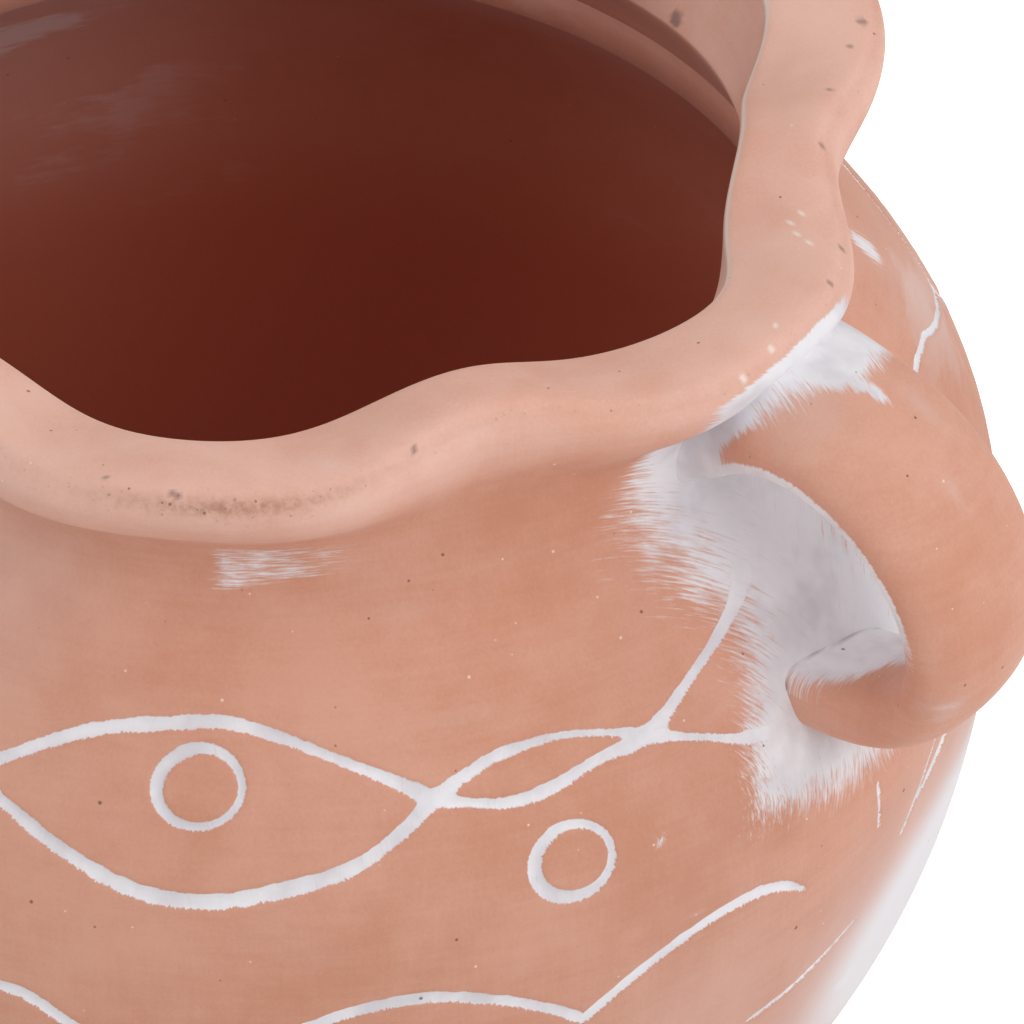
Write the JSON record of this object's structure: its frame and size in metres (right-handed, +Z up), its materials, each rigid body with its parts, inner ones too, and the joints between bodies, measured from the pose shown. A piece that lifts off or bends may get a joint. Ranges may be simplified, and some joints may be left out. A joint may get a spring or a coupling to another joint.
{
  "type": "flower pot",
  "caption": "Round-bellied terracotta flower pot with a broad wavy six-lobed lip, loop handles under the lobes, a flat foot and a drain hole.",
  "frame": {"origin": "centre of the drain hole in the face that the pot stands on", "axes": "+Z up along the drain hole; -Y towards the front, where a lobe of the rim points; one handle at +Y and one at 30 degrees below +X and -X each, seen from above"},
  "size_m": [0.197, 0.2024, 0.1536],
  "materials": {
    "pot_body": "matte unglazed terracotta with white slip in incised lines",
    "rim_collar": "matte unglazed terracotta",
    "handle_right": "matte unglazed terracotta with brushed white wash at the roots",
    "handle_left": "matte unglazed terracotta with brushed white wash at the roots",
    "handle_back": "matte unglazed terracotta with brushed white wash at the roots"
  },
  "bodies": {
    "root": {"pot_body": "pot_body", "rim_collar": "rim_collar", "handle_right": "handle_right", "handle_left": "handle_left", "handle_back": "handle_back"}
  },
  "joints": []
}
